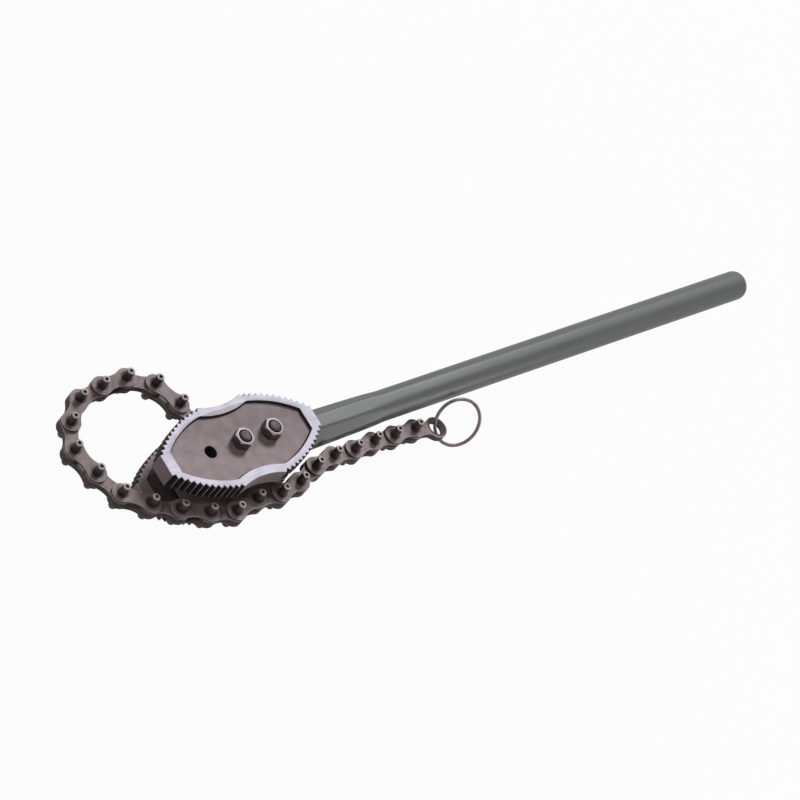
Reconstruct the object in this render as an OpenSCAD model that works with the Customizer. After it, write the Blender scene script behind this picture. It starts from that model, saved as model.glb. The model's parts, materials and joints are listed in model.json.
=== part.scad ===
// Double-jaw chain pipe wrench, laid flat with its chain looped and its tail beside the handle.
// X runs from the jaws to the handle's end, Z is square to the jaws.
// The origin is the axis of the free jaw hole, midway between the jaws.

/* [Jaws] */
// Length of a jaw over its two end flats
jaw_len = 165; // [150:1:185]
// Height of each end flat
jaw_flat = 20; // [16:0.5:24]
// Distance from the jaw's middle to a horn, along the jaw
horn_x = 23; // [20:0.5:28]
// Distance from the jaw's middle to a horn, across the jaw
horn_y = 39; // [36:0.5:44]
// Radius of the toothed edges
jaw_arc_r = 105; // [95:1:140]
// Depth of the smooth waist between two horns
waist_depth = 4; // [2:0.5:6]
// Thickness of a jaw
jaw_thick = 16.5; // [12:0.5:20]
// Teeth on each of the four edges
tooth_count = 12; // [8:1:16]
// Depth of a tooth
tooth_depth = 2.6; // [1.5:0.1:3.5]
// Width of the rim around the outer pocket
rim = 8; // [6:0.5:10]
// Extra width of the rim at the two end flats
rim_end_extra = 3; // [0:0.5:5]
// Depth of the outer pocket
pocket_depth = 3; // [1:0.25:5]
// Depth of the pockets at both ends of the inner face
inner_pocket_depth = 2.5; // [1:0.25:4]
// Half length of the flat seat on the inner face
seat_half = 52; // [46:1:60]

/* [Handle] */
// Diameter of the bar
bar_d = 27; // [22:0.5:27.5]
// Distance from the middle of the jaws to the bar's end
bar_reach = 640; // [450:1:900]
// Radius of the rounded rim at the bar's end
bar_end_r = 9; // [4:0.5:11]
// Thickness of the forged head, which is the gap between the jaws
head_thick = 28; // [27.5:0.5:31]
// Width of the forged head
head_width = 33; // [30:0.5:40]
// Distance behind the jaws' middle where the head starts to turn round
head_len = 66; // [60:1:90]
// Length over which the head blends into the bar
blend_len = 110; // [60:1:160]
// Side room of the anchor link in the head's fork
fork_clear = 0.5; // [0.3:0.1:1]

/* [Bolts] */
// Diameter of the bolts
bolt_d = 10; // [9:0.5:11]
// Radial room of a bolt in the jaws and the head
bolt_clear = 0.75; // [0.3:0.05:1]
// Distance between neighbouring jaw holes
hole_pitch = 32.5; // [31:0.5:36]
// Nut and bolt head size across the flats
nut_flats = 16; // [15:0.5:18]
// Height of a nut
nut_high = 9.5; // [7:0.5:11]
// Slope of the chamfer that turns off the corners of nuts and bolt heads, in degrees
nut_chamfer = 30; // [20:1:45]
// Height of a bolt head
bolt_head_high = 6.5; // [5:0.5:8]
// Length of bolt that stands out of the nut
bolt_proud = 1.5; // [0.5:0.5:4]

/* [Chain] */
// Distance between neighbouring chain pins
chain_pitch = 26; // [25:0.25:27]
// Diameter of a chain plate's round ends
plate_d = 18; // [16:0.5:18.5]
// Width of a chain plate at its waist
plate_waist = 12; // [9:0.5:13]
// Thickness of a chain plate
plate_thick = 2.5; // [2:0.1:2.8]
// Gap between the two inner plates of a link
inner_gap = 1.6; // [1.2:0.1:2.2]
// Side room between inner and outer plates
side_clear = 0.25; // [0.2:0.05:0.3]
// Diameter of the chain pins
pin_d = 7; // [6:0.25:8]
// Length of a chain pin that stands proud of the plates, at each end
pin_proud = 10; // [9:0.1:12]
// Radial running room of a pin in an inner link
pin_clear = 0.1; // [0.09:0.01:0.12]
// Radial room of a pin in the outer plates that it is riveted into
rivet_clear = 0.01; // [0.01:0.005:0.02]
// Diameter of the dimple in a pin's end
dimple_d = 3.2; // [2:0.1:4]
// Depth of that dimple
dimple_deep = 2; // [1:0.25:4]
// Chamfer at a pin's ends
pin_chamfer = 0.6; // [0.2:0.1:1]
// Outside diameter of the bushes between inner plates
bush_d = 11; // [10:0.25:13]
// Distance from the centre bolt to the first chain pin
anchor_pitch = 33; // [32:0.5:35]
// Diameter of the anchor link's eye round the centre bolt
anchor_eye_d = 22; // [20:0.5:23]
// Outside diameter of the bush between the anchor link's plates
anchor_bush_d = 20; // [16:0.5:22]
// Height of the riveted heads of the anchor pin
anchor_head = 1.4; // [0.5:0.1:2]

/* [Ring] */
// Diameter of the ring's wire
wire_d = 3; // [2:0.25:3.25]
// Diameter of the ring to the middle of its wire
ring_d = 43; // [38:1:44]
// Lean of the ring from upright
ring_lean = 38; // [20:1:40]
// Slope at which the ring rises from the last link towards the handle
ring_rise = 22; // [0:1:23]
// Distance by which the ring hangs out of the middle of the last link's eye
ring_slack = 0.2; // [0:0.1:0.4]
// Diameter of the last link's eye
eye_d = 14; // [13.7:0.1:15]
// Diameter of the last link's end round the eye
eye_end_d = 21; // [20:0.5:23]

/* [Hidden] */
$fn = 48;
over = 1;

// Heading of every link, from the anchor link to the last, in degrees from +X
headings = [105, 105, 115, 150, 180, 190, 220, 245, 285, 295, 320, 330,
            335, 345, 370, 355, 370, 380, 370, 360, 365, 360, 360, 350];
// Droop of every link, its turn about Y: the play in the pins allows one degree per pin
droops = [0, 0, 0, -1, -2, -2, -2, -2, -3, -3, -2, -1,
          -1, 0, 1, 2, 3, 4, 5, 6, 6, 5, 4, 3];
link_count = len(headings);

inner_face = inner_gap / 2 + plate_thick;
outer_seat = inner_face + side_clear;
outer_face = outer_seat + plate_thick;
pin_half = outer_face + pin_proud;

jaw_top = head_thick / 2 + jaw_thick;
web_top = jaw_top - pocket_depth;
hole_d = bolt_d + 2 * bolt_clear;
fork_gap = 2 * outer_face + 2 * fork_clear;
head_corner = sqrt(head_thick * head_thick + head_width * head_width);

function reach_of(k) = k == 1 ? anchor_pitch : chain_pitch;
function heading(k) = headings[k - 1];
function droop(k) = droops[k - 1];
function direction(k) =
    let (h = heading(k), d = droop(k))
    [cos(h) * cos(d), sin(h), -cos(h) * sin(d)];
// Where link k starts: the centre bolt for the first, then one pin after another
function pin_at(k) =
    k == 1 ? [hole_pitch, 0, 0] : pin_at(k - 1) + reach_of(k - 1) * direction(k - 1);
function two(k) = k < 10 ? str("0", k) : str(k);
function link_name(k) = str("link_", two(k));
inner_links = [for (k = [2 : 2 : link_count]) k];
outer_links = [for (k = [3 : 2 : link_count]) k];

function middle(a, b) = (a + b) / 2;
function reversed(list) = [for (i = [len(list) - 1 : -1 : 0]) list[i]];
function flipped(list, sx, sy) = [for (p = list) [p[0] * sx, p[1] * sy]];
// Centre of the arc of radius r that bulges outward from a to b
function arc_centre(a, b, r) =
    let (d = b - a, half = norm(d) / 2)
    middle(a, b) + [-d[1], d[0]] / norm(d) * sqrt(r * r - half * half);
// Points on that arc in n steps, every second one sunk by depth to make teeth
function arc_points(a, b, r, n, depth) =
    let (c = arc_centre(a, b, r),
         start = atan2(a[1] - c[1], a[0] - c[0]),
         turn = atan2(b[1] - c[1], b[0] - c[0]) - start)
    [for (i = [0 : n])
        let (s = start + turn * i / n, q = r - (i % 2) * depth)
        c + q * [cos(s), sin(s)]];
// All four quarters of an outline from the one between an end flat and a horn
function all_quarters(q) = concat(
    q,
    reversed(flipped(q, -1, 1)),
    flipped(q, -1, -1),
    reversed(flipped(q, 1, -1))
);

// Round waist that is scooped out of both long sides
module waist_scoops(extra) {
    waist_r = (horn_x * horn_x + waist_depth * waist_depth) / (2 * waist_depth);
    for (side = [-1, 1])
        translate([0, side * (horn_y - waist_depth + waist_r)])
            circle(r = waist_r + extra, $fn = 96);
}

module jaw_outline() {
    flat_corner = [jaw_len / 2, jaw_flat / 2];
    horn = [horn_x, horn_y];
    quarter = arc_points(flat_corner, horn, jaw_arc_r, 2 * tooth_count, tooth_depth);
    difference() {
        polygon(all_quarters(quarter));
        waist_scoops(0);
    }
}

// Outline of the pocket, one rim width inside the jaw's own
module pocket_outline() {
    flat_corner = [jaw_len / 2 - rim - rim_end_extra, jaw_flat / 2];
    horn = [horn_x + rim / 2, horn_y - rim];
    quarter = arc_points(flat_corner, horn, jaw_arc_r - rim, tooth_count, 0);
    difference() {
        polygon(all_quarters(quarter));
        waist_scoops(rim);
    }
}

// One jaw with its inner face at z = 0
module jaw() {
    end_room = jaw_len / 2 - seat_half;
    difference() {
        linear_extrude(jaw_thick)
            jaw_outline();
        translate([0, 0, jaw_thick - pocket_depth])
            linear_extrude(pocket_depth + over)
                pocket_outline();
        translate([0, 0, -over])
            linear_extrude(inner_pocket_depth + over)
                intersection() {
                    pocket_outline();
                    for (side = [-1, 1])
                        translate([side * (seat_half + end_room / 2), 0])
                            square([end_room, 2 * horn_y], center = true);
                }
        for (place = [-1, 0, 1])
            translate([place * hole_pitch, 0, -over])
                cylinder(d = hole_d, h = jaw_thick + 2 * over);
    }
}

module upper_jaw() {
    color("silver")
        translate([hole_pitch, 0, head_thick / 2])
            jaw();
}

module lower_jaw() {
    color("silver")
        translate([hole_pitch, 0, -head_thick / 2])
            mirror([0, 0, 1])
                jaw();
}

// Bar with a rounded end, from the head's blend to the end of its reach
module bar() {
    bar_start = head_len + blend_len;
    bar_len = bar_reach - bar_start;
    translate([bar_start, 0, 0])
        rotate([0, 90, 0])
            rotate_extrude() {
                square([bar_d / 2 - bar_end_r, bar_len]);
                square([bar_d / 2, bar_len - bar_end_r]);
                intersection() {
                    translate([bar_d / 2 - bar_end_r, bar_len - bar_end_r])
                        circle(r = bar_end_r);
                    square([bar_d, 2 * bar_len]);
                }
            }
}

// Forged head: flat on four sides at the jaws, fading into the round bar
module head() {
    intersection() {
        rotate([0, 90, 0])
            translate([0, 0, -head_width]) {
                cylinder(d = head_corner, h = head_len + head_width);
                translate([0, 0, head_len + head_width])
                    cylinder(d1 = head_corner, d2 = bar_d, h = blend_len);
            }
        translate([0, 0, -head_thick / 2])
            linear_extrude(head_thick) {
                circle(d = head_width, $fn = 96);
                translate([0, -head_width / 2])
                    square([head_len + blend_len, head_width]);
            }
    }
}

module handle() {
    fork_end = anchor_eye_d / 2 + 2 * fork_clear;
    color("dimgray")
        translate([hole_pitch, 0, 0])
            difference() {
                union() {
                    bar();
                    head();
                }
                translate([-head_width, -head_width, -fork_gap / 2])
                    cube([head_width + fork_end, 2 * head_width, fork_gap]);
                for (place = [0, 1])
                    translate([place * hole_pitch, 0, -head_thick])
                        cylinder(d = hole_d, h = 2 * head_thick);
            }
}

// Six-sided prism with its corners turned off at the top
module hexagon(high) {
    corner_d = nut_flats / cos(30);
    chamfer_d = 2 * high / tan(nut_chamfer);
    intersection() {
        cylinder(d = corner_d, h = high, $fn = 6);
        cylinder(d1 = nut_flats + chamfer_d, d2 = nut_flats, h = high);
    }
}

// Bolt head under the lower jaw, shank through both jaws and the nut
module bolt(x) {
    shank_len = 2 * web_top + nut_high + bolt_proud;
    color("gray")
        translate([x, 0, -web_top]) {
            mirror([0, 0, 1])
                hexagon(bolt_head_high);
            cylinder(d = bolt_d, h = shank_len);
        }
}

module nut(x) {
    color("gray")
        translate([x, 0, web_top])
            difference() {
                hexagon(nut_high);
                translate([0, 0, -over])
                    cylinder(d = bolt_d + 2 * rivet_clear, h = nut_high + 2 * over);
            }
}

// Moves its children to link k, with +X along the link
module at_link(k) {
    translate(pin_at(k))
        rotate([0, droop(k), 0])
            rotate([0, 0, heading(k)])
                children();
}

// Same shape above and below the middle of the chain
module both_sides(z) {
    translate([0, 0, z])
        children();
    mirror([0, 0, 1])
        translate([0, 0, z])
            children();
}

// Waisted plate outline with two round ends that run smoothly into the waist
module plate_outline(far_d) {
    end_r = plate_d / 2;
    half_waist = plate_waist / 2;
    half_pitch = chain_pitch / 2;
    narrowing = end_r - half_waist;
    scoop_r = (half_pitch * half_pitch + half_waist * half_waist - end_r * end_r) / (2 * narrowing);
    scoop_y = half_waist + scoop_r;
    touch = [half_pitch, scoop_y] * end_r / (end_r + scoop_r);
    circle(d = plate_d);
    translate([chain_pitch, 0])
        circle(d = far_d);
    difference() {
        translate([touch[0], -touch[1]])
            square([chain_pitch - 2 * touch[0], 2 * touch[1]]);
        for (side = [-1, 1])
            translate([half_pitch, side * scoop_y])
                circle(r = scoop_r, $fn = 96);
    }
}

// Plate with a hole at each end
module plate(near_hole, far_hole, far_d) {
    linear_extrude(plate_thick)
        difference() {
            plate_outline(far_d);
            circle(d = near_hole);
            translate([chain_pitch, 0])
                circle(d = far_hole);
        }
}

module inner_plates(k) {
    running_hole = pin_d + 2 * pin_clear;
    is_last = k == link_count;
    color("rosybrown")
        at_link(k)
            both_sides(inner_gap / 2)
                plate(running_hole, is_last ? eye_d : running_hole, is_last ? eye_end_d : plate_d);
}

// Bushes that keep the inner plates apart, none at the last link's eye
module inner_bushes(k) {
    ends = k == link_count ? [0] : [0, 1];
    color("gray")
        at_link(k)
            for (end = ends)
                translate([end * chain_pitch, 0, -inner_gap / 2])
                    difference() {
                        cylinder(d = bush_d, h = inner_gap);
                        translate([0, 0, -over])
                            cylinder(d = pin_d + 2 * pin_clear, h = inner_gap + 2 * over);
                    }
}

module outer_plates(k) {
    rivet_hole = pin_d + 2 * rivet_clear;
    color("rosybrown")
        at_link(k)
            both_sides(outer_seat)
                plate(rivet_hole, rivet_hole, plate_d);
}

// Pin with chamfered, dimpled ends
module pin(half) {
    difference() {
        union() {
            cylinder(d = pin_d, h = 2 * (half - pin_chamfer), center = true);
            both_sides(half - pin_chamfer)
                cylinder(d1 = pin_d, d2 = pin_d - 2 * pin_chamfer, h = pin_chamfer);
        }
        both_sides(half - dimple_deep)
            cylinder(d = dimple_d, h = dimple_deep + over);
    }
}

module outer_pins(k) {
    color("silver")
        at_link(k)
            for (end = [0, 1])
                translate([end * chain_pitch, 0, 0])
                    pin(pin_half);
}

// First link: two longer plates on the centre bolt, inside the fork
module anchor_plates() {
    near = anchor_eye_d / 2;
    far = plate_d / 2;
    sides = [[0, -near], [anchor_pitch, -far], [anchor_pitch, far], [0, near]];
    color("rosybrown")
        at_link(1)
            both_sides(outer_seat)
                linear_extrude(plate_thick)
                    difference() {
                        union() {
                            circle(d = anchor_eye_d);
                            translate([anchor_pitch, 0])
                                circle(d = plate_d);
                            polygon(sides);
                        }
                        circle(d = bolt_d + 2 * pin_clear);
                        translate([anchor_pitch, 0])
                            circle(d = pin_d + 2 * rivet_clear);
                    }
}

module anchor_bush() {
    color("gray")
        at_link(1)
            translate([0, 0, -outer_seat])
                difference() {
                    cylinder(d = anchor_bush_d, h = 2 * outer_seat);
                    translate([0, 0, -over])
                        cylinder(d = bolt_d + 2 * pin_clear, h = 2 * (outer_seat + over));
                }
}

// Short pin with low heads, because it runs between the jaws
module anchor_pin() {
    color("silver")
        at_link(1)
            translate([anchor_pitch, 0, 0])
                pin(outer_face + anchor_head);
}

// Wire ring through the last link's eye
module tail_ring() {
    color("gainsboro")
        at_link(link_count)
            translate([chain_pitch, 0, 0])
                rotate([0, -ring_rise, 0])
                    translate([ring_d / 2 + ring_slack, 0, 0])
                        rotate([90 - ring_lean, 0, 0])
                            rotate_extrude($fn = 96)
                                translate([ring_d / 2, 0])
                                    circle(d = wire_d, $fn = 24);
}

handle();
upper_jaw();
lower_jaw();
bolt(hole_pitch);  // centre_bolt
bolt(2 * hole_pitch);  // rear_bolt
nut(hole_pitch);  // centre_nut
nut(2 * hole_pitch);  // rear_nut
anchor_plates();
anchor_bush();
anchor_pin();
for (k = inner_links) {
    inner_plates(k);
    inner_bushes(k);
}
for (k = outer_links) {
    outer_plates(k);
    outer_pins(k);
}
tail_ring();
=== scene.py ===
"""Looks of the chain pipe wrench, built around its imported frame."""
import json
import math

import bmesh
import bpy
from mathutils import Matrix, Vector
from mathutils.geometry import tessellate_polygon


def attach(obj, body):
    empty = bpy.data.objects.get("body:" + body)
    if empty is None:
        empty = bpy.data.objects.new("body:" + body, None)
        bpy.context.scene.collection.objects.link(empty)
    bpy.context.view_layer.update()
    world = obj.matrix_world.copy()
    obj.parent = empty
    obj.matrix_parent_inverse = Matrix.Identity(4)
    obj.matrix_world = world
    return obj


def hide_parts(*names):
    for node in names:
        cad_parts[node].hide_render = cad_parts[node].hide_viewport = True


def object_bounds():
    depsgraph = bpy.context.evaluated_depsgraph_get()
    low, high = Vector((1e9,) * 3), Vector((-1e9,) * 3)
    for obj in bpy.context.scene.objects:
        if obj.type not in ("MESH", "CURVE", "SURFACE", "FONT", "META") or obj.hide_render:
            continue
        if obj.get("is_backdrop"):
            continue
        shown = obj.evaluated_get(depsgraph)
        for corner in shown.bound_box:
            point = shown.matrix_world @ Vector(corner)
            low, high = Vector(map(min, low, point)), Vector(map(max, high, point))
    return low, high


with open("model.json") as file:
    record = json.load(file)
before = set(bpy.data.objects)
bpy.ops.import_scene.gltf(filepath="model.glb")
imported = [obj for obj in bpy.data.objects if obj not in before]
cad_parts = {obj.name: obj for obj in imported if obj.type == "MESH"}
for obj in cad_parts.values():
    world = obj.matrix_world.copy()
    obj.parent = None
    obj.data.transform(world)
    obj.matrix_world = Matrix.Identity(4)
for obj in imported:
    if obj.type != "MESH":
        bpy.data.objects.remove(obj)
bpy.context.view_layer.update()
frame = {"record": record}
joints = frame["record"]["behaviour"]["joints"]

MM = 0.001

# Sizes of the jaws, in mm, with the middle of the jaws as zero
JAW_LEN, JAW_FLAT, JAW_THICK, JAW_GAP = 165, 20, 16.5, 28
HORN_X, HORN_Y, JAW_ARC_R, WAIST_DEPTH = 23, 39, 105, 4
TOOTH_COUNT, TOOTH_DEPTH = 12, 2.6
RIM, RIM_END_EXTRA, POCKET_DEPTH = 8, 3, 3
INNER_POCKET_DEPTH, SEAT_HALF = 2.5, 52
HOLE_PITCH, HOLE_D = 32.5, 11.5
TOOTH_CREST, JAW_EDGE, HOLE_EDGE, HOLE_BACK_EDGE, RECESS_SLOPE = 0.28, 0.35, 0.5, 0.4, 1.0

# Sizes of the handle, in mm
BAR_D, BAR_REACH, BAR_END_R = 27, 640, 9
HEAD_WIDTH, HEAD_LEN, BLEND_LEN, HEAD_BEVEL, FORK_CLEAR = 33, 66, 110, 14.2, 1
# How deep the forged flats sink into the round bar, and how far along it they run out
FLAT_SUNK_HIGH, FLAT_END_HIGH, FLAT_SUNK_WIDE, FLAT_END_WIDE = 0.8, 620, 0.5, 420
# Sharpness of the corners between the forged faces: a higher power is sharper
BLOCK_POWER, FACE_POWER = 24, 50

# Sizes of the bolts, in mm
BOLT_D, NUT_FLATS, NUT_HIGH, BOLT_HEAD_HIGH, BOLT_PROUD = 10, 16, 9.5, 6.5, 1.5
THREAD_PITCH, THREAD_DEPTH, NUT_BORE_CLEAR, NUT_COUNTERSINK, NUT_BACK_EDGE = 1.5, 0.5, 0.03, 1.3, 0.8
# How far each nut ended up turned, in degrees
NUT_TURN = {"centre": 4, "rear": 18}

# Sizes of the chain and its ring, in mm, with the ring's lean, rise and joint in degrees
PITCH, PLATE_D, PLATE_WAIST, PLATE_THICK = 26, 18, 12, 2.5
INNER_GAP, SIDE_CLEAR, PIN_D, PIN_PROUD, PIN_CLEAR = 1.6, 0.25, 7, 10, 0.1
BUSH_D, ANCHOR_PITCH, ANCHOR_EYE_D, ANCHOR_BUSH_D, ANCHOR_HEAD = 11, 33, 22, 20, 1.4
WIRE_D, RING_D, RING_LEAN, RING_RISE, RING_SLACK = 3, 43, 38, 22, 0.2
EYE_D, EYE_END_D = 14, 21
RIVET_CLEAR, PLATE_EDGE, PLATE_HOLE_EDGE, BUSH_EDGE, GREASE_SHADE_REACH = 0.02, 0.55, 0.25, 0.3, 2.8
RING_JOINT_AT, RING_JOINT_GAP = 40, 0.12

INNER_FACE = INNER_GAP / 2 + PLATE_THICK
OUTER_SEAT = INNER_FACE + SIDE_CLEAR
OUTER_FACE = OUTER_SEAT + PLATE_THICK
PIN_HALF = OUTER_FACE + PIN_PROUD
FORK_GAP = 2 * OUTER_FACE + FORK_CLEAR
WEB_TOP = JAW_GAP / 2 + JAW_THICK - POCKET_DEPTH

# Marks of the faces, in the order of a piece's materials
# Recessed faces take painted shade in the bolts' dark brown
# Scaled faces take black scale with painted shade
FORGED, GROUND, SCALED_AND_SHADED, RUBBED, SHADED_RECESS = range(5)
NUT_SIDE, NUT_FACE, NUT_BORE, NUT_CHAMFER = range(4)
PLAIN, WORN = range(2)

# Points closer than this many metres are one, and edges sharper than this angle stay sharp
SAME_POINT, SHARP_ANGLE = 1e-6, math.radians(32)
# Points round a bolt or a nut
TURNED_POINTS = 72


def linear(hex_colour):
    """sRGB hex as linear RGBA"""
    channels = [int(hex_colour[i:i + 2], 16) / 255 for i in (1, 3, 5)]
    return [c / 12.92 if c <= 0.04045 else ((c + 0.055) / 1.055) ** 2.4 for c in channels] + [1]


def add(tree, kind, inputs=None, **settings):
    """Adds a node with its settings, values and links"""
    node = tree.nodes.new(kind)
    for key, value in settings.items():
        setattr(node, key, value)
    for key, value in (inputs or {}).items():
        if isinstance(value, bpy.types.NodeSocket):
            tree.links.new(value, node.inputs[key])
        else:
            node.inputs[key].default_value = value
    return node


def new_material(name):
    """Empty node material and its tree"""
    material = bpy.data.materials.new(name)
    material.use_nodes = True
    material.node_tree.nodes.clear()
    return material, material.node_tree


def mottled_steel(name, dark, base, light, metallic, rough, mottle_mm, grain_mm, grain_high_mm, grease_shade=None):
    """Steel with a skin of oxide: cloudy colour, fine grain, uneven gloss, and grease with painted shade where
    the mesh holds it
    """
    material, tree = new_material(name)
    place = add(tree, "ShaderNodeTexCoord").outputs["Object"]
    cloud = add(tree, "ShaderNodeTexNoise", {
        "Vector": place, "Scale": 1 / (mottle_mm * MM), "Detail": 5.0}).outputs["Fac"]
    grain = add(tree, "ShaderNodeTexNoise", {
        "Vector": place, "Scale": 1 / (grain_mm * MM), "Detail": 3.0}).outputs["Fac"]
    mix = add(tree, "ShaderNodeMix", {"Factor": 0.4, "A": cloud, "B": grain})
    colour = add(tree, "ShaderNodeValToRGB", {"Fac": mix.outputs["Result"]})
    stops = colour.color_ramp.elements
    stops[0].position, stops[0].color = 0.36, linear(dark)
    stops[1].position, stops[1].color = 0.66, linear(light)
    middle = stops.new(0.5)
    middle.color = linear(base)
    shade = colour.outputs["Color"]
    # Grease with painted shade: darkens the colour where the mesh's attribute asks
    if grease_shade:
        held = add(tree, "ShaderNodeAttribute", attribute_name="grease_shade").outputs["Fac"]
        ragged = add(tree, "ShaderNodeMath", {0: held, 1: cloud}, operation="MULTIPLY")
        darkest_at, cover = 0.32, 0.85
        shade_mix = add(tree, "ShaderNodeMapRange", {
            "Value": ragged.outputs[0], "From Max": darkest_at, "To Max": cover})
        shade = add(tree, "ShaderNodeMix", {
            0: shade_mix.outputs["Result"], 6: shade, 7: linear(grease_shade)}, data_type="RGBA").outputs[2]
    gloss = add(tree, "ShaderNodeMapRange", {
        "Value": grain, "From Min": 0.3, "From Max": 0.7, "To Min": rough[0], "To Max": rough[1]})
    bump = add(tree, "ShaderNodeBump", {"Height": grain, "Strength": 1.0, "Distance": grain_high_mm * MM})
    skin = add(tree, "ShaderNodeBsdfPrincipled", {
        "Base Color": shade, "Metallic": metallic, "Specular IOR Level": 0.15,
        "Roughness": gloss.outputs["Result"], "Normal": bump.outputs["Normal"]})
    add(tree, "ShaderNodeOutputMaterial", {"Surface": skin.outputs["BSDF"]})
    return material


def ground_steel(name, low, high, metallic, rough, line_mm, line_high_mm):
    """Bright ground steel: fine straight grinding lines along the jaw, cool silver with pale streaks"""
    material, tree = new_material(name)
    place = add(tree, "ShaderNodeTexCoord").outputs["Object"]
    drawn = add(tree, "ShaderNodeMapping", {"Vector": place, "Scale": (0.06, 1.0, 1.0)})
    lines = add(tree, "ShaderNodeTexNoise", {
        "Vector": drawn.outputs["Vector"], "Scale": 1 / (line_mm * MM), "Detail": 4.0})
    cloud_mm = 14
    cloud = add(tree, "ShaderNodeTexNoise", {"Vector": place, "Scale": 1 / (cloud_mm * MM), "Detail": 3.0})
    both = add(tree, "ShaderNodeMath", {
        0: lines.outputs["Fac"], 1: cloud.outputs["Fac"]}, operation="MULTIPLY")
    colour = add(tree, "ShaderNodeValToRGB", {"Fac": both.outputs[0]})
    stops = colour.color_ramp.elements
    stops[0].position, stops[0].color = 0.12, linear(low)
    stops[1].position, stops[1].color = 0.36, linear(high)
    bump = add(tree, "ShaderNodeBump", {
        "Height": lines.outputs["Fac"], "Strength": 1.0, "Distance": line_high_mm * MM})
    skin = add(tree, "ShaderNodeBsdfPrincipled", {
        "Base Color": colour.outputs["Color"], "Metallic": metallic, "Roughness": rough,
        "Normal": bump.outputs["Normal"]})
    add(tree, "ShaderNodeOutputMaterial", {"Surface": skin.outputs["BSDF"]})
    return material


def grey_enamel(name):
    """Grey enamel brushed on a forged bar: satin, even, with faint scale and orange peel under it"""
    material, tree = new_material(name)
    place = add(tree, "ShaderNodeTexCoord").outputs["Object"]
    # Orange peel is finer than 7 mm in truth, and is drawn as coarse as it needs to show
    cloud_mm, peel_mm, peel_high_mm = 40, 7, 0.04
    cloud = add(tree, "ShaderNodeTexNoise", {"Vector": place, "Scale": 1 / (cloud_mm * MM), "Detail": 3.0})
    peel = add(tree, "ShaderNodeTexNoise", {"Vector": place, "Scale": 1 / (peel_mm * MM), "Detail": 1.0})
    colour = add(tree, "ShaderNodeValToRGB", {"Fac": cloud.outputs["Fac"]})
    stops = colour.color_ramp.elements
    stops[0].position, stops[0].color = 0.3, linear("#525354")
    stops[1].position, stops[1].color = 0.7, linear("#5e5f60")
    gloss = add(tree, "ShaderNodeMapRange", {
        "Value": cloud.outputs["Fac"], "From Min": 0.3, "From Max": 0.7, "To Min": 0.55, "To Max": 0.62})
    bump = add(tree, "ShaderNodeBump", {
        "Height": peel.outputs["Fac"], "Strength": 0.3, "Distance": peel_high_mm * MM})
    skin = add(tree, "ShaderNodeBsdfPrincipled", {
        "Base Color": colour.outputs["Color"], "Roughness": gloss.outputs["Result"],
        "Normal": bump.outputs["Normal"], "Coat Weight": 0.16, "Coat Roughness": 0.22})
    add(tree, "ShaderNodeOutputMaterial", {"Surface": skin.outputs["BSDF"]})
    return material


# Brown oxide on a drop forging: dull brownish grey, cloudy, with forged grain
BROWNED_FORGING = mottled_steel(
    "browned_forging", "#a29193", "#b1a0a3", "#bdadb0",
    metallic=0.0, rough=(0.5, 0.72), mottle_mm=9, grain_mm=0.9, grain_high_mm=0.05)
# Black scale with painted shade over it, in the tooth gaps, the pocket's corner, the holes and the nut bores:
# nearly black, a little oily
BLACK_SCALE_AND_SHADE = mottled_steel(
    "black_scale_and_painted_shade", "#1c171a", "#2a2327", "#3a3135",
    metallic=0.0, rough=(0.55, 0.75), mottle_mm=5, grain_mm=0.7, grain_high_mm=0.06)
# Browned chain plate, blanked and tumbled: smoother than the forging, with dark grease and painted shade round
# the pins and on the sides
BROWNED_PLATE = mottled_steel(
    "browned_chain_plate", "#8c7c7f", "#a7969a", "#b9a9ad",
    metallic=0.0, rough=(0.45, 0.65), mottle_mm=7, grain_mm=0.8, grain_high_mm=0.03, grease_shade="#2a2122")
# Turned pin: dark flanks, darkened further with painted shade, with a dull gloss
TURNED_PIN_AND_SHADE = mottled_steel(
    "turned_pin_steel_and_shade", "#372f30", "#4a4041", "#5d5253",
    metallic=0.25, rough=(0.35, 0.55), mottle_mm=4, grain_mm=0.6, grain_high_mm=0.02)
# Bolt steel: dark browned flats; the same dark brown is painted shade on the floors of the sunk ends of the
# jaws' inner faces
BOLT_STEEL_AND_RECESS_SHADE = mottled_steel(
    "browned_bolt_steel_and_recess_shade", "#4a3f42", "#5e5255", "#716468",
    metallic=0.15, rough=(0.42, 0.6), mottle_mm=5, grain_mm=0.7, grain_high_mm=0.02)
# Drawn wire of the ring: brownish steel, smooth and a little shiny
RING_WIRE = mottled_steel(
    "drawn_ring_wire", "#655956", "#80736f", "#998d89",
    metallic=0.45, rough=(0.3, 0.45), mottle_mm=6, grain_mm=0.6, grain_high_mm=0.01)
# Ground rim of the jaws: bright, cool silver
GROUND_RIM = ground_steel(
    "ground_jaw_rim", "#a39eaa", "#bdb8c6", metallic=0.3, rough=0.55, line_mm=0.8, line_high_mm=0.02)
# Edges rubbed bright by use: pale steel
WORN_EDGE = ground_steel(
    "worn_bright_edge", "#948a8f", "#b9b2b9", metallic=0.3, rough=0.5, line_mm=0.6, line_high_mm=0.01)
# Faced pin ends and nut chamfers: light, slightly pink steel that shows the dark dimple
PIN_END = mottled_steel(
    "faced_pin_end", "#9a8d8f", "#afa2a4", "#c0b4b6",
    metallic=0.25, rough=(0.45, 0.6), mottle_mm=3, grain_mm=0.5, grain_high_mm=0.01)
# Plate edges rounded by tumbling: a little lighter than the plate's face
TUMBLED_EDGE = mottled_steel(
    "tumbled_plate_edge", "#a89a9e", "#bfb1b5", "#d0c4c8",
    metallic=0.15, rough=(0.42, 0.6), mottle_mm=5, grain_mm=0.7, grain_high_mm=0.02)
# Grey enamel on the forged bar: even, satin, with soft long highlights
GREY_ENAMEL = grey_enamel("grey_bar_enamel")


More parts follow.
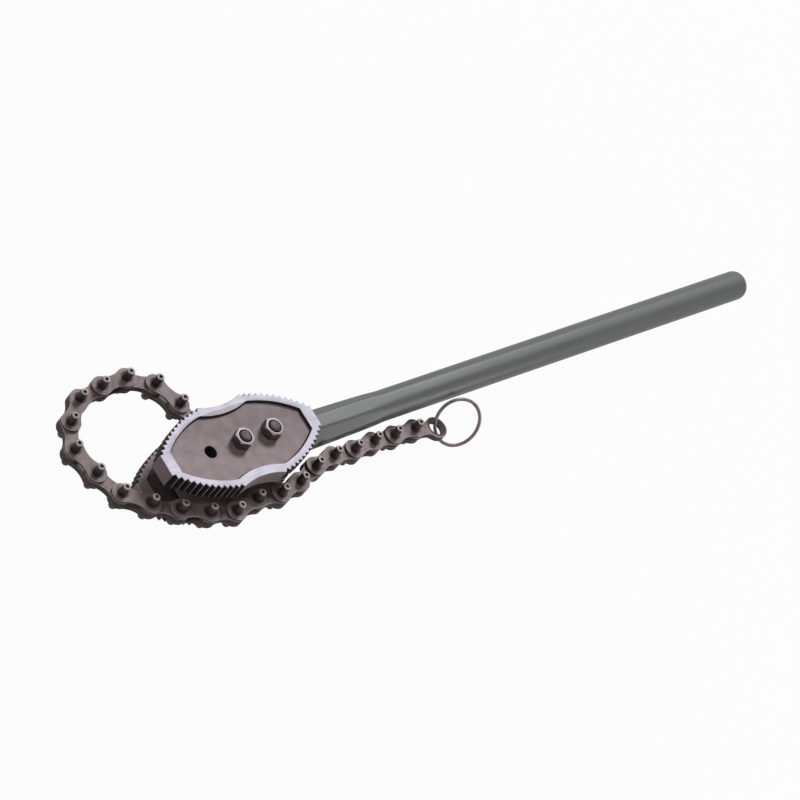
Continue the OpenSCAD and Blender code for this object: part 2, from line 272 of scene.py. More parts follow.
def soften(mesh):
    """Smooth shading that keeps the sharp edges"""
    mesh.shade_smooth()
    mesh.set_sharp_from_angle(angle=SHARP_ANGLE)


def close(bm, merge=True):
    """Joins the loops of a shape and points its faces outwards"""
    if merge:
        bmesh.ops.remove_doubles(bm, verts=bm.verts, dist=SAME_POINT)
    bmesh.ops.recalc_face_normals(bm, faces=bm.faces)


def to_mesh(name, bm):
    """Mesh of a bmesh that is then done with"""
    mesh = bpy.data.meshes.new(name)
    bm.to_mesh(mesh)
    bm.free()
    return mesh


def put_in_scene(name, data):
    """Object for a mesh, a lamp or the camera"""
    thing = bpy.data.objects.new(name, data)
    bpy.context.scene.collection.objects.link(thing)
    return thing


def to_object(name, bm, materials, merge=True):
    """Closes a bmesh into an object with its place in its mesh"""
    close(bm, merge)
    mesh = to_mesh(name, bm)
    for material in materials:
        mesh.materials.append(material)
    soften(mesh)
    return put_in_scene(name, mesh)


def keep_result(piece):
    """Turns a piece and its modifiers into one plain mesh"""
    bpy.context.view_layer.update()
    graph = bpy.context.evaluated_depsgraph_get()
    shaped = bpy.data.meshes.new_from_object(piece.evaluated_get(graph))
    piece.modifiers.clear()
    piece.data = shaped
    soften(shaped)


def settle(piece, body, slot, *nodes):
    """Gives a piece its body and hides the nodes that it stands for; the slot is not used"""
    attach(piece, body)
    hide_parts(*nodes)


def loop_at(bm, points, z):
    """Loop of points in mm at one height"""
    return [bm.verts.new((x * MM, y * MM, z * MM)) for x, y in points]


def wall(bm, low, high, mark=0, marks=None):
    """Band of faces between two loops of the same length"""
    for i in range(len(low)):
        j = (i + 1) % len(low)
        face = bm.faces.new((low[i], low[j], high[j], high[i]))
        face.material_index = marks[i] if marks else mark


def flat(bm, loops, mark=0):
    """Flat face inside the first loop and outside the others"""
    corners = [v for loop in loops for v in loop]
    for triangle in tessellate_polygon([[v.co for v in loop] for loop in loops]):
        face = bm.faces.new([corners[i] for i in triangle])
        face.material_index = mark


def inset(points, distance):
    """Closed outline moved inward by a distance, outward where that is negative"""
    # A sharp corner moves no further than this share allows
    least_share = 0.35
    count = len(points)
    area = sum(points[i - 1][0] * points[i][1] - points[i][0] * points[i - 1][1] for i in range(count))
    turn = 1 if area > 0 else -1
    moved = []
    for i in range(count):
        before, here, after = (Vector(points[n % count]) for n in (i - 1, i, i + 1))
        a, b = (here - before).normalized(), (after - here).normalized()
        na, nb = Vector((-a.y, a.x)) * turn, Vector((-b.y, b.x)) * turn
        middle = (na + nb).normalized()
        moved.append(tuple(here + middle * distance / max(least_share, middle.dot(na))))
    return moved


def circle(r, x=0, y=0, count=48):
    """Points of a circle, with no end point twice"""
    return [(x + r * math.cos(2 * math.pi * i / count), y + r * math.sin(2 * math.pi * i / count))
            for i in range(count)]


def arc(centre, r, start, end, count):
    """Points of an arc in degrees, both ends included"""
    angles = [math.radians(start + (end - start) * i / count) for i in range(count + 1)]
    return [(centre[0] + r * math.cos(a), centre[1] + r * math.sin(a)) for a in angles]


def lathe(bm, profile, count=40, shift=(0, 0), marks=None):
    """Turned shape from (radius, height) pairs in mm; a radius of zero closes an end"""
    rows = []
    for r, z in profile:
        if r == 0:
            rows.append([bm.verts.new((shift[0] * MM, shift[1] * MM, z * MM))])
        else:
            rows.append(loop_at(bm, circle(r, *shift, count), z))
    for n, (low, high) in enumerate(zip(rows, rows[1:])):
        mark = marks[n] if marks else 0
        if len(low) > 1 and len(high) > 1:
            wall(bm, low, high, mark)
            continue
        tip, ring = (low[0], high) if len(low) == 1 else (high[0], low)
        for i in range(count):
            bm.faces.new((tip, ring[i], ring[(i + 1) % count])).material_index = mark


# Jaws
def quarter_arc(flat_corner, horn, r):
    """Centre and both angles of a toothed edge, from an end flat to a horn"""
    a, b = Vector(flat_corner), Vector(horn)
    along = b - a
    side = Vector((-along.y, along.x)).normalized()
    centre = (a + b) / 2 + side * math.sqrt(r * r - along.length_squared / 4)
    angle = [math.degrees(math.atan2(p.y - centre.y, p.x - centre.x)) for p in (a, b)]
    return centre, angle[0], angle[1]


def four_quarters(quarter):
    """Whole outline from one quarter of (x, y, toothed) points"""
    turned = [(-x, y, toothed) for x, y, toothed in reversed(quarter)]
    half = quarter + turned
    return half + [(-x, -y, toothed) for x, y, toothed in half]


def jaw_outline():
    """Toothed outline, and a mark for each face of its wall"""
    centre, start, end = quarter_arc((JAW_LEN / 2, JAW_FLAT / 2), (HORN_X, HORN_Y), JAW_ARC_R)
    step = (end - start) / (2 * TOOTH_COUNT)
    half_crest = math.degrees(TOOTH_CREST / JAW_ARC_R)
    points = []
    for i in range(2 * TOOTH_COUNT + 1):
        angle = start + step * i
        if i % 2:
            points.append((angle, JAW_ARC_R - TOOTH_DEPTH))
        elif i == 0 or i == 2 * TOOTH_COUNT:
            points.append((angle, JAW_ARC_R))
        else:
            points += [(angle - half_crest, JAW_ARC_R), (angle + half_crest, JAW_ARC_R)]
    teeth = [(centre.x + r * math.cos(math.radians(a)), centre.y + r * math.sin(math.radians(a)))
             for a, r in points]
    waist_r = (HORN_X ** 2 + WAIST_DEPTH ** 2) / (2 * WAIST_DEPTH)
    waist_y = HORN_Y - WAIST_DEPTH + waist_r
    spread = math.degrees(math.asin(HORN_X / waist_r))
    waist = arc((0, waist_y), waist_r, -90 + spread, -90, 12)[1:-1]
    quarter = [(x, y, True) for x, y in teeth] + [(x, y, False) for x, y in waist]
    outline = four_quarters(quarter)
    xy = [(x, y) for x, y, _ in outline]
    marks = []
    for i in range(len(outline)):
        j = (i + 1) % len(outline)
        toothed = outline[i][2] and outline[j][2]
        length = (Vector(xy[j]) - Vector(xy[i])).length
        if toothed and length < 3 * TOOTH_CREST:
            marks.append(RUBBED)
        elif toothed and length < JAW_FLAT / 2:
            # Tooth flanks take black scale with painted shade
            marks.append(SCALED_AND_SHADED)
        else:
            marks.append(FORGED)
    return xy, marks


def pocket_outline():
    """Edge of the sunk field, one rim width inside the jaw's own edge"""
    corner = (JAW_LEN / 2 - RIM - RIM_END_EXTRA, JAW_FLAT / 2)
    horn = (HORN_X + RIM / 2, HORN_Y - RIM)
    centre, start, end = quarter_arc(corner, horn, JAW_ARC_R - RIM)
    side = arc(centre, JAW_ARC_R - RIM, start, end, 16)
    waist_r = (HORN_X ** 2 + WAIST_DEPTH ** 2) / (2 * WAIST_DEPTH) + RIM
    waist_y = HORN_Y - WAIST_DEPTH - RIM + waist_r
    meet = math.degrees(math.acos((waist_y - horn[1]) / waist_r))
    waist = arc((0, waist_y), waist_r, -90 + meet, -90, 12)[:-1]
    return [(x, y) for x, y, _ in four_quarters([(x, y, False) for x, y in side + waist])]


def end_pocket(outline, side):
    """Part of the sunk field beyond the flat seat, at one end"""
    clear, reach, shoulder = 1, 6, 2
    loop = [(x, y) for x, y in outline if side * x > SEAT_HALF + clear]
    half = max(abs(y) for x, y in outline if abs(side * x - SEAT_HALF) < reach) - shoulder
    near = [(side * SEAT_HALF, -half), (side * SEAT_HALF, half)]
    return [near[0]] + sorted(loop, key=lambda p: p[1]) + [near[1]]


def make_jaw(name, upper):
    """Forged jaw with a toothed edge, a sunk field, three holes and sunk ends on its inner face"""
    bm = bmesh.new()
    outline, marks = jaw_outline()
    pocket = pocket_outline()
    top, web = JAW_THICK, JAW_THICK - POCKET_DEPTH
    bottom_loop = loop_at(bm, inset(outline, JAW_EDGE), 0)
    low_loop = loop_at(bm, outline, JAW_EDGE)
    high_loop = loop_at(bm, outline, top - JAW_EDGE)
    top_loop = loop_at(bm, inset(outline, JAW_EDGE), top)
    wall(bm, bottom_loop, low_loop, RUBBED)
    wall(bm, low_loop, high_loop, marks=marks)
    wall(bm, high_loop, top_loop, RUBBED)
    # Sloping pocket wall with a rounded lip and a rounded foot, as inset and height
    steps = [(-0.5, top), (-0.1, top - 0.15), (0.1, top - 0.6),
             (0.55, web + 0.9), (0.95, web + 0.3), (1.7, web)]
    bands = [loop_at(bm, inset(pocket, d), z) for d, z in steps]
    # The sloping walls take black scale with painted shade; the lip is rubbed bright
    for low, high, mark in zip(bands, bands[1:], (RUBBED, SCALED_AND_SHADED, SCALED_AND_SHADED, SCALED_AND_SHADED, FORGED)):
        wall(bm, low, high, mark)
    flat(bm, [top_loop, bands[0]], GROUND)
    # Three holes with broken edges
    floor = [bands[-1]]
    seat = [bottom_loop]
    for place in (-1, 0, 1):
        x, r = place * HOLE_PITCH, HOLE_D / 2
        mouth = loop_at(bm, circle(r + HOLE_EDGE, x), web)
        neck = loop_at(bm, circle(r, x), web - HOLE_EDGE)
        foot = loop_at(bm, circle(r, x), HOLE_BACK_EDGE)
        back = loop_at(bm, circle(r + HOLE_BACK_EDGE, x), 0)
        wall(bm, mouth, neck, RUBBED)
        # The bore of each hole takes black scale with painted shade
        wall(bm, neck, foot, SCALED_AND_SHADED)
        wall(bm, foot, back, SCALED_AND_SHADED)
        floor.append(mouth)
        seat.append(back)
    for side in (-1, 1):
        edge_points = end_pocket(pocket, side)
        rim_loop = loop_at(bm, edge_points, 0)
        deep_loop = loop_at(bm, inset(edge_points, RECESS_SLOPE), INNER_POCKET_DEPTH)
        # The sunk end's wall takes black scale with painted shade
        wall(bm, rim_loop, deep_loop, SCALED_AND_SHADED)
        # Painted shade: the sunk end's floor takes the bolts' dark brown
        flat(bm, [deep_loop], SHADED_RECESS)
        seat.append(rim_loop)
    flat(bm, floor, FORGED)
    flat(bm, seat, FORGED)
    place = Matrix.Translation((HOLE_PITCH * MM, 0, JAW_GAP / 2 * MM))
    if not upper:
        place = Matrix.Rotation(math.pi, 4, "X") @ place
    bm.transform(place)
    return to_object(name, bm, [BROWNED_FORGING, GROUND_RIM, BLACK_SCALE_AND_SHADE, WORN_EDGE, BOLT_STEEL_AND_RECESS_SHADE])


for name, upper in (("upper_jaw_forging", True), ("lower_jaw_forging", False)):
    settle(make_jaw(name, upper), "frame_body", "jaw_steel", name.replace("_forging", ""))


# Handle
def half_at(x, head_half, sunk, flat_end):
    """Half size of the handle over a pair of its forged flats, which run out along the bar"""
    bar_start = HEAD_LEN + BLEND_LEN
    low = BAR_D / 2 - sunk
    if x < HEAD_LEN:
        return head_half
    if x < bar_start:
        return head_half + (low - head_half) * (x - HEAD_LEN) / BLEND_LEN
    return low + sunk * (x - bar_start) / (flat_end - bar_start)


def handle_ring(x, count=144):
    """Section of the handle: a block at the head that turns into a round bar with fading flats"""
    corner = math.hypot(JAW_GAP, HEAD_WIDTH) / 2
    fade = min(1, max(0, (x - HEAD_LEN) / BLEND_LEN))
    round_r = corner + (BAR_D / 2 - corner) * fade
    half_high = half_at(x, JAW_GAP / 2, FLAT_SUNK_HIGH, FLAT_END_HIGH)
    half_wide = half_at(x, HEAD_WIDTH / 2, FLAT_SUNK_WIDE, FLAT_END_WIDE)
    bevel = HEAD_BEVEL + (BAR_D / 2 - HEAD_BEVEL) * fade
    if x < 0:
        half_wide = math.sqrt(max(0.2, (HEAD_WIDTH / 2) ** 2 - x * x))
    end = BAR_REACH - BAR_END_R
    if x > end:
        round_r = BAR_D / 2 - BAR_END_R + math.sqrt(max(0, BAR_END_R ** 2 - (x - end) ** 2))
    points = []
    for i in range(count):
        a = 2 * math.pi * i / count
        c, s = math.cos(a), math.sin(a)
        wide, high = abs(c) / half_wide, abs(s) / half_high
        block = (wide ** BLOCK_POWER + high ** BLOCK_POWER) ** (-1 / BLOCK_POWER)
        slant = bevel * math.sqrt(2) / (abs(c) + abs(s))
        r = (block ** -FACE_POWER + slant ** -FACE_POWER + round_r ** -FACE_POWER) ** (-1 / FACE_POWER)
        points.append((r * c, r * s))
    return points


def make_handle():
    """Forged bar with a round front, a blend from block to bar, and a rounded free end"""
    bm = bmesh.new()
    front = [-HEAD_WIDTH / 2 + d for d in (0.05, 0.5, 1.5, 3, 5, 8, 12, 16)]
    blend = [i * 11 for i in range(1, 17)]
    bar = [HEAD_LEN + BLEND_LEN + i * 35 for i in range(1, 13)]
    tip = [BAR_REACH - BAR_END_R + BAR_END_R * math.sin(math.radians(a)) for a in range(0, 91, 10)]
    rows = []
    for x in front + blend + bar + tip:
        rows.append([bm.verts.new(((x + HOLE_PITCH) * MM, y * MM, z * MM)) for y, z in handle_ring(x)])
    for low, high in zip(rows, rows[1:]):
        wall(bm, low, high)
    bm.faces.new(rows[0])
    bm.faces.new(rows[-1])
    piece = to_object("forged_handle", bm, [GREY_ENAMEL])
    # Fork for the anchor link and two bolt holes
    tool = bmesh.new()
    fork_end = ANCHOR_EYE_D / 2 + FORK_CLEAR
    slot_len = HEAD_WIDTH + fork_end
    slot_place = Matrix.Translation(((HOLE_PITCH + fork_end - slot_len / 2) * MM, 0, 0))
    slot_size = Matrix.Diagonal((slot_len * MM, 2 * HEAD_WIDTH * MM, FORK_GAP * MM, 1))
    bmesh.ops.create_cube(tool, size=1, matrix=slot_place @ slot_size)
    r, half = HOLE_D / 2, JAW_GAP
    for place in (1, 2):
        lathe(tool, [(0, -half), (r, -half), (r, half), (0, half)], shift=(place * HOLE_PITCH, 0))
    cutter = to_object("cutter", tool, [GREY_ENAMEL], merge=False)
    cut = piece.modifiers.new("fork", "BOOLEAN")
    cut.operation, cut.solver, cut.object = "DIFFERENCE", "EXACT", cutter
    cut.use_self = True
    keep_result(piece)
    bpy.data.objects.remove(cutter)
    return piece


settle(make_handle(), "frame_body", "handle_paint", "handle")


# Bolts and nuts
def hexagon_r(a):
    """Distance from the middle of a hexagon to its side, at an angle in degrees"""
    return NUT_FLATS / 2 / math.cos(math.radians((a + 30) % 60 - 30))


def hexagon_loops(bm, high, z, up):
    """Loops of a hexagon with turned corners: foot, lower and upper end of its sides, rim circle"""
    slope = math.tan(math.radians(30))
    foot_r, rim_r = NUT_FLATS / 2 - 0.2, NUT_FLATS / 2 - 0.6
    rows = [[], [], [], []]
    for a in [i * 360 / TURNED_POINTS for i in range(TURNED_POINTS)]:
        r, c, s = hexagon_r(a), math.cos(math.radians(a)), math.sin(math.radians(a))
        drop = (r - NUT_FLATS / 2) * slope
        levels = ((foot_r, 0), (r, drop * 0.6 + 0.15), (r, high - drop - 0.3), (rim_r, high))
        for row, (radius, height) in zip(rows, levels):
            row.append(bm.verts.new((radius * c * MM, radius * s * MM, (z + up * height) * MM)))
    return rows


def make_nut(name, x, turn):
    """Hexagon nut with turned chamfers and a countersunk bore"""
    bm = bmesh.new()
    rows = hexagon_loops(bm, NUT_HIGH, WEB_TOP, 1)
    bore = BOLT_D / 2 + NUT_BORE_CLEAR
    levels = ((bore + NUT_COUNTERSINK, NUT_HIGH), (bore, NUT_HIGH - NUT_COUNTERSINK),
              (bore, NUT_BACK_EDGE), (bore + NUT_BACK_EDGE, 0))
    rows += [loop_at(bm, circle(r, 0, 0, TURNED_POINTS), WEB_TOP + z) for r, z in levels]
    # The nut's bore takes black scale with painted shade
    marks = (NUT_SIDE, NUT_SIDE, NUT_CHAMFER, NUT_FACE, NUT_BORE, NUT_BORE, NUT_SIDE, NUT_SIDE)
    for low, high, mark in zip(rows, rows[1:] + rows[:1], marks):
        wall(bm, low, high, mark)
    bm.transform(Matrix.Translation((x * MM, 0, 0)) @ Matrix.Rotation(math.radians(turn), 4, "Z"))
    return to_object(name, bm, [BOLT_STEEL_AND_RECESS_SHADE, WORN_EDGE, BLACK_SCALE_AND_SHADE, PIN_END])


def make_bolt(name, x):
    """Hexagon bolt with thread ridges in the nut and a rounded end"""
    bm = bmesh.new()
    rows = hexagon_loops(bm, BOLT_HEAD_HIGH, -WEB_TOP, -1)
    for low, high in zip(rows, rows[1:]):
        wall(bm, low, high)
    flat(bm, [rows[3]])
    r = BOLT_D / 2
    end, thread_start = WEB_TOP + NUT_HIGH + BOLT_PROUD, WEB_TOP + 1
    profile = [(r, -WEB_TOP), (r, thread_start)]
    plain_end = 2
    for i in range(int((end - plain_end - thread_start) / THREAD_PITCH)):
        z = thread_start + i * THREAD_PITCH
        profile += [(r - THREAD_DEPTH, z + THREAD_PITCH / 2), (r, z + THREAD_PITCH)]
    profile += [(r, end - 1.1), (r - 0.5, end - 0.4), (r - 1.2, end - 0.05), (r - 2.2, end), (0, end)]
    lathe(bm, profile, TURNED_POINTS)
    shank = [v for v in bm.verts
             if abs(v.co.z + WEB_TOP * MM) < SAME_POINT and v.co.xy.length < (r + 0.1) * MM]
    shank.sort(key=lambda v: math.atan2(v.co.y, v.co.x))
    foot = sorted(rows[0], key=lambda v: math.atan2(v.co.y, v.co.x))
    wall(bm, foot, shank)
    bm.transform(Matrix.Translation((x * MM, 0, 0)))
    return to_object(name, bm, [BOLT_STEEL_AND_RECESS_SHADE])


for part, x in (("centre", HOLE_PITCH), ("rear", 2 * HOLE_PITCH)):
    settle(make_nut(part + "_hex_nut", x, NUT_TURN[part]), "frame_body", "bolt_steel", part + "_nut")
    settle(make_bolt(part + "_hex_bolt", x), "frame_body", "bolt_steel", part + "_bolt")


# Chain
def copies_tree():
    """Copies of one piece along a link, turned and put in the link's place"""
    tree = bpy.data.node_groups.new("copies_on_a_link", "GeometryNodeTree")
    for name, kind in (("Geometry", "Geometry"), ("Count", "Int"), ("Start", "Vector"), ("Step", "Vector"),
                       ("Turn per copy", "Vector"), ("Place", "Vector"), ("Heading", "Vector"),
                       ("Finish", "Material"), ("Worn finish", "Material")):
        tree.interface.new_socket(name, in_out="INPUT", socket_type="NodeSocket" + kind)
    tree.interface.new_socket("Geometry", in_out="OUTPUT", socket_type="NodeSocketGeometry")
    given = add(tree, "NodeGroupInput").outputs
    row = add(tree, "GeometryNodeMeshLine", {
        "Count": given["Count"], "Start Location": given["Start"], "Offset": given["Step"]}, mode="OFFSET")
    index = add(tree, "GeometryNodeInputIndex")
    turn = add(tree, "ShaderNodeVectorMath", {
        0: given["Turn per copy"], "Scale": index.outputs[0]}, operation="SCALE")
    spin = add(tree, "FunctionNodeEulerToRotation", {"Euler": turn.outputs[0]})
    copies = add(tree, "GeometryNodeInstanceOnPoints", {
        "Points": row.outputs["Mesh"], "Instance": given["Geometry"], "Rotation": spin.outputs[0]})
    placed = add(tree, "GeometryNodeTransform", {
        "Geometry": copies.outputs[0], "Translation": given["Place"], "Rotation": given["Heading"]})
    real = add(tree, "GeometryNodeRealizeInstances", {"Geometry": placed.outputs[0]})
    dressed = add(tree, "GeometryNodeSetMaterial", {
        "Geometry": real.outputs[0], "Material": given["Finish"]})
    worn = add(tree, "GeometryNodeInputNamedAttribute", {"Name": "worn"}, data_type="BOOLEAN")
    edged = add(tree, "GeometryNodeSetMaterial", {
        "Geometry": dressed.outputs[0], "Selection": worn.outputs["Attribute"],
        "Material": given["Worn finish"]})
    add(tree, "NodeGroupOutput", {"Geometry": edged.outputs[0]})
    return tree


COPIES = copies_tree()
PINS = [Vector(j["pos_m"]) for j in joints]
LINK_COUNT = len(PINS) - 1


def link_place(k):
    """Place of link k, with X along it and Z along its pins"""
    along = (PINS[k] - PINS[k - 1]).normalized()
    droop = math.atan(-along.z / along.x)
    up = Vector((math.sin(droop), 0, math.cos(droop)))
    place = Matrix((along, up.cross(along), up)).transposed()
    return PINS[k - 1], place


def on_link(name, source, k, count, start, step, turn, finish, worn_finish):
    """Copies of a source mesh in the place of link k, as one plain mesh"""
    piece = put_in_scene(name, source)
    origin, place = link_place(k)
    values = {"Count": count, "Start": [v * MM for v in start], "Step": [v * MM for v in step],
              "Turn per copy": [math.radians(v) for v in turn], "Place": list(origin),
              "Heading": list(place.to_euler()), "Finish": finish, "Worn finish": worn_finish}
    maker = piece.modifiers.new("copies", "NODES")
    maker.node_group = COPIES
    for socket in COPIES.interface.items_tree:
        if socket.in_out == "INPUT" and socket.name in values:
            maker[socket.identifier] = values[socket.name]
    keep_result(piece)
    return piece


def source_mesh(name, bm):
    """Mesh for copying, with its worn faces in an attribute"""
    close(bm)
    worn = [face.material_index == WORN for face in bm.faces]
    for face in bm.faces:
        face.material_index = PLAIN
    mesh = to_mesh(name, bm)
    mesh.attributes.new("worn", "BOOLEAN", "FACE").data.foreach_set("value", worn)
    return mesh


def plate_outline(near_d, far_d, pitch, waist):
    """Round ends that run smoothly into a waist, or straight sides where waist is None"""
    ra, rb = near_d / 2, far_d / 2
    if waist is None:
        lean = math.degrees(math.asin((ra - rb) / pitch))
        return (arc((0, 0), ra, 90 - lean, 270 + lean, 28)
                + arc((pitch, 0), rb, -90 + lean, 90 - lean, 28))
    half, w, r = pitch / 2, waist / 2, PLATE_D / 2
    scoop_r = (half * half + w * w - r * r) / (2 * (r - w))
    scoop_y = w + scoop_r
    touch = math.degrees(math.atan2(scoop_y, half))
    sweep = 90 - touch
    far = touch
    top = arc((half, scoop_y), scoop_r, -90 + sweep, -90 - sweep, 14)
    if far_d > PLATE_D:
        # A wider far end meets the scoops sooner
        reach = math.hypot(half, scoop_y)
        cosine = (reach ** 2 + rb ** 2 - scoop_r ** 2) / (2 * reach * rb)
        far = touch - math.degrees(math.acos(min(1, cosine)))
        top = [p for p in top if math.hypot(p[0] - pitch, p[1]) > rb + 0.05]
    bottom = [(x, -y) for x, y in reversed(top)]
    near_arc = arc((0, 0), ra, touch, 360 - touch, 28)[1:-1]
    far_arc = arc((pitch, 0), rb, -180 + far, 180 - far, 28)[1:-1]
    return near_arc + bottom + far_arc + top


def plate_mesh(name, near_d, far_d, pitch, waist, near_hole, far_hole):
    """Blanked plate with rounded, rubbed edges and grease with painted shade round the holes, from z = 0 up"""
    bm = bmesh.new()
    grease_shade = bm.verts.layers.float.new("grease_shade")
    outline = plate_outline(near_d, far_d, pitch, waist)
    edge, part = PLATE_EDGE, PLATE_EDGE * 0.3
    steps = ((0, edge), (part, part), (edge, 0), (PLATE_THICK - edge, 0), (PLATE_THICK - part, part),
             (PLATE_THICK, edge))
    rows = [loop_at(bm, inset(outline, d), z) for z, d in steps]
    # Grease with painted shade is thin on the sheared sides and thick round the holes
    for v in rows[1] + rows[2] + rows[3]:
        v[grease_shade] = 0.5
    for low, high, mark in zip(rows, rows[1:], (PLAIN, PLAIN, PLAIN, WORN, WORN)):
        wall(bm, low, high, mark)
    tops, feet = [rows[-1]], [rows[0]]
    edge = PLATE_HOLE_EDGE
    for x, hole in ((0, near_hole), (pitch, far_hole)):
        levels = [loop_at(bm, circle(hole / 2 + d, x), z) for d, z in (
            (edge, 0), (0, edge), (0, PLATE_THICK - edge), (edge, PLATE_THICK))]
        for v in levels[-1]:
            v[grease_shade] = 1
        levels.append(loop_at(bm, circle(hole / 2 + GREASE_SHADE_REACH, x), PLATE_THICK))
        for low, high in zip(levels, levels[1:]):
            wall(bm, low, high)
        feet.append(levels[0])
        tops.append(levels[-1])
    flat(bm, tops)
    flat(bm, feet)
    return source_mesh(name, bm)


def pin_mesh(name, half):
    """Turned pin with a drilled dimple in each chamfered end"""
    bm = bmesh.new()
    r = PIN_D / 2
    # From the dimple's point over its rim and the end face to the chamfer
    end = [(0, half - 2.2), (1.5, half - 1.4), (1.6, half - 0.25), (1.85, half), (r - 0.75, half),
           (r - 0.25, half - 0.3), (r, half - 0.8)]
    end_marks = [PLAIN, PLAIN, WORN, WORN, WORN, WORN]
    profile = [(x, -z) for x, z in end] + end[::-1]
    lathe(bm, profile, 32, marks=end_marks + [PLAIN] + end_marks[::-1])
    return source_mesh(name, bm)


def bush_mesh(name, outer_d, inner_d, half):
    """Turned bush with broken outer edges"""
    bm = bmesh.new()
    a, b, edge = inner_d / 2, outer_d / 2, BUSH_EDGE
    lathe(bm, [(a, -half), (b - edge, -half), (b, -half + edge), (b, half - edge), (b - edge, half),
               (a, half), (a, -half)])
    return source_mesh(name, bm)


running, riveted, on_bolt = PIN_D + 2 * PIN_CLEAR, PIN_D + RIVET_CLEAR, BOLT_D + 2 * PIN_CLEAR
OUTER_PLATE = plate_mesh("outer_plate", PLATE_D, PLATE_D, PITCH, PLATE_WAIST, riveted, riveted)
INNER_PLATE = plate_mesh("inner_plate", PLATE_D, PLATE_D, PITCH, PLATE_WAIST, running, running)
LAST_PLATE = plate_mesh("last_plate", PLATE_D, EYE_END_D, PITCH, PLATE_WAIST, running, EYE_D)
ANCHOR_PLATE = plate_mesh("anchor_plate", ANCHOR_EYE_D, PLATE_D, ANCHOR_PITCH, None, on_bolt, riveted)
LONG_PIN = pin_mesh("long_pin", PIN_HALF)
SHORT_PIN = pin_mesh("short_pin", OUTER_FACE + ANCHOR_HEAD)
LINK_BUSH = bush_mesh("link_bush", BUSH_D, running, INNER_GAP / 2)
ANCHOR_BUSH = bush_mesh("anchor_bush_turned", ANCHOR_BUSH_D, on_bolt, OUTER_SEAT)

# Each row of copies as its start, its step and the turn per copy
ZERO, FLIP = (0, 0, 0), (180, 0, 0)
outer_seats, inner_seats = (((0, 0, seat), (0, 0, -2 * seat), FLIP) for seat in (OUTER_SEAT, INNER_GAP / 2))
end_to_end = (ZERO, (PITCH, 0, 0), ZERO)
# Pins and bushes take flanks darkened with painted shade and light faced ends
plate_look, pin_look = (BROWNED_PLATE, TUMBLED_EDGE), (TURNED_PIN_AND_SHADE, PIN_END)

settle(on_link("anchor_link_plates", ANCHOR_PLATE, 1, 2, *outer_seats, *plate_look),
       "anchor_link", "chain_steel", "anchor_plates")
settle(on_link("anchor_link_pin", SHORT_PIN, 1, 1, (ANCHOR_PITCH, 0, 0), ZERO, ZERO, *pin_look),
       "anchor_link", "pin_steel", "anchor_pin")
settle(on_link("anchor_link_bush", ANCHOR_BUSH, 1, 1, ZERO, ZERO, ZERO, *pin_look),
       "anchor_link", "pin_steel", "anchor_bush")
for k in range(2, LINK_COUNT + 1):
    link = "link_%02d" % k
    last = k == LINK_COUNT
    if k % 2:
        plates = on_link(link + "_outer_pair", OUTER_PLATE, k, 2, *outer_seats, *plate_look)
        inside = on_link(link + "_long_pins", LONG_PIN, k, 2, *end_to_end, *pin_look)
        settle(inside, link, "pin_steel", link + "_pins")
    else:
        blank = LAST_PLATE if last else INNER_PLATE
        plates = on_link(link + "_inner_pair", blank, k, 2, *inner_seats, *plate_look)
        inside = on_link(link + "_spacers", LINK_BUSH, k, 1 if last else 2, *end_to_end, *pin_look)
        settle(inside, link, "pin_steel", link + "_bushes")
    settle(plates, link, "chain_steel", link + "_plates")


# Ring
def make_ring():
    """Wire bent round to a ring, with a closed butt joint"""
    bm = bmesh.new()
    turns, around = 160, 20
    r, wire = RING_D / 2, WIRE_D / 2
    gap = RING_JOINT_GAP / r
    rows = []
    for i in range(turns + 1):
        a = math.radians(RING_JOINT_AT) + gap + (2 * math.pi - 2 * gap) * i / turns
        # The wire is rounded off at its two ends
        section = circle(wire * (0.8 if i in (0, turns) else 1), count=around)
        rows.append([bm.verts.new(((r + out) * math.cos(a) * MM, (r + out) * math.sin(a) * MM, up * MM))
                     for out, up in section])
    for low, high in zip(rows, rows[1:]):
        wall(bm, low, high)
    bm.faces.new(rows[0])
    bm.faces.new(rows[-1])
    origin, place = link_place(LINK_COUNT)
    lean = Matrix.Rotation(math.radians(90 - RING_LEAN), 4, "X")
    out = Matrix.Translation(((r + RING_SLACK) * MM, 0, 0))
    rise = Matrix.Rotation(math.radians(-RING_RISE), 4, "Y")
    eye = Matrix.Translation((PITCH * MM, 0, 0))
    bm.transform(Matrix.Translation(origin) @ place.to_4x4() @ eye @ rise @ out @ lean)
    return to_object("wire_tail_ring", bm, [RING_WIRE], merge=False)


settle(make_ring(), "ring", "ring_steel", "tail_ring")

# Camera at the photograph's angle, in mm round the middle of the jaws
AZIMUTH, ELEVATION, ROLL = (math.radians(v) for v in (-68.574, 45.264, 42.22))
DISTANCE, AIM_RIGHT, AIM_UP = 3400, 143.504, 48.513
PIXELS_PER_MM, FRAME_PIXELS, SENSOR = 1.215, 800, 36
back = Vector((math.sin(AZIMUTH) * math.cos(ELEVATION), -math.cos(AZIMUTH) * math.cos(ELEVATION),
               math.sin(ELEVATION)))
level = Vector((math.cos(AZIMUTH), math.sin(AZIMUTH), 0))
above = back.cross(level)
right = math.cos(ROLL) * level + math.sin(ROLL) * above
up = -math.sin(ROLL) * level + math.cos(ROLL) * above
eye_point = (right * AIM_RIGHT + up * AIM_UP + back * DISTANCE + Vector((HOLE_PITCH, 0, 0))) * MM
lens = bpy.data.cameras.new("camera")
lens.sensor_width = SENSOR
lens.lens = SENSOR * PIXELS_PER_MM * DISTANCE / FRAME_PIXELS
lens.clip_start, lens.clip_end = 0.1, 50
camera = put_in_scene("camera", lens)
camera.matrix_world = Matrix.Translation(eye_point) @ Matrix((right, up, back)).transposed().to_4x4()
bpy.context.scene.camera = camera


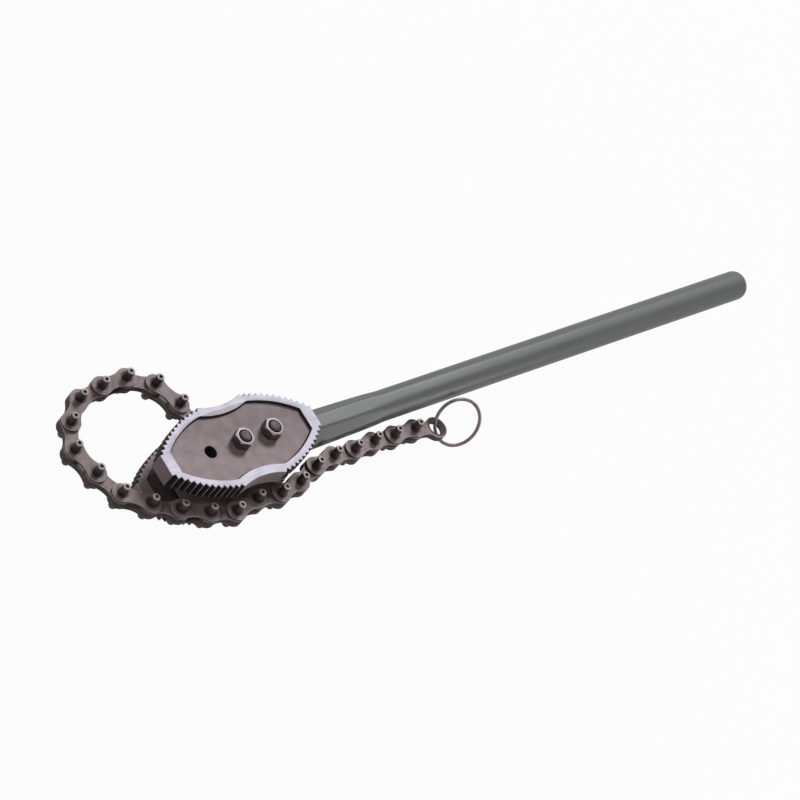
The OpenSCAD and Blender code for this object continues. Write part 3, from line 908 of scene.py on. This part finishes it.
# Studio
def seen_white(tree):
    """1 where the eye sees a surface straight, in a reflection or through glass, and 0 for other light"""
    rays = add(tree, "ShaderNodeLightPath").outputs
    seen = rays["Is Camera Ray"]
    for other in ("Is Glossy Ray", "Is Transmission Ray"):
        seen = add(tree, "ShaderNodeMath", {0: seen, 1: rays[other]}, operation="MAXIMUM").outputs[0]
    return seen


def make_floor(z):
    """Pale seamless floor: white to the eye, and still lit enough to take a soft shadow"""
    half, middle_x, white_share = 6, 0.3, 0.965
    material, tree = new_material("studio_paper")
    share = add(tree, "ShaderNodeMath", {0: seen_white(tree), 1: white_share}, operation="MULTIPLY")
    paper = add(tree, "ShaderNodeBsdfDiffuse", {"Color": linear("#9c9c9c")})
    glow = add(tree, "ShaderNodeEmission", {"Color": (1, 1, 1, 1), "Strength": 1.0})
    both = add(tree, "ShaderNodeMixShader", {0: share.outputs[0], 1: paper.outputs[0], 2: glow.outputs[0]})
    add(tree, "ShaderNodeOutputMaterial", {"Surface": both.outputs[0]})
    bm = bmesh.new()
    bmesh.ops.create_grid(
        bm, x_segments=1, y_segments=1, size=half, matrix=Matrix.Translation((middle_x, 0, z)))
    floor = to_object("floor", bm, [material])
    floor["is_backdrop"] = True


def make_light(name, place, target, size, watts):
    """Round soft lamp that faces a target, with its size and places in metres"""
    data = bpy.data.lights.new(name, "AREA")
    data.shape, data.size, data.energy = "DISK", size, watts
    lamp = put_in_scene(name, data)
    lamp.location = place
    lamp.rotation_euler = (Vector(target) - Vector(place)).to_track_quat("-Z", "Y").to_euler()


def make_world(room_light):
    """Even room light that is white where it is seen"""
    world = bpy.data.worlds.new("studio")
    bpy.context.scene.world = world
    world.use_nodes = True
    tree = world.node_tree
    tree.nodes.clear()
    strength = add(tree, "ShaderNodeMapRange", {"Value": seen_white(tree), "To Min": room_light, "To Max": 1.0})
    sky = add(tree, "ShaderNodeBackground", {"Color": (1, 1, 1, 1), "Strength": strength.outputs["Result"]})
    add(tree, "ShaderNodeOutputWorld", {"Surface": sky.outputs[0]})


# Room under the tool for the tail, which dips by 8 mm where a leaning pin of the loop turns alone
FLOOR_ROOM = 8.5
make_floor(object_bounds()[0][2] - FLOOR_ROOM * MM)
make_light("key_above_behind", place=(2.5, 1.6, 3.0), target=(0.15, 0, 0), size=1.4, watts=106)
make_light("soft_fill", place=(-1.4, 0.3, 1.3), target=(0.1, 0, 0), size=1.0, watts=4.5)
make_light("low_strip", place=(0.85, -0.8, 0.15), target=(0.2, 0, 0), size=0.35, watts=2.6)
make_world(room_light=0.06)
bpy.context.scene.view_settings.view_transform = "Standard"
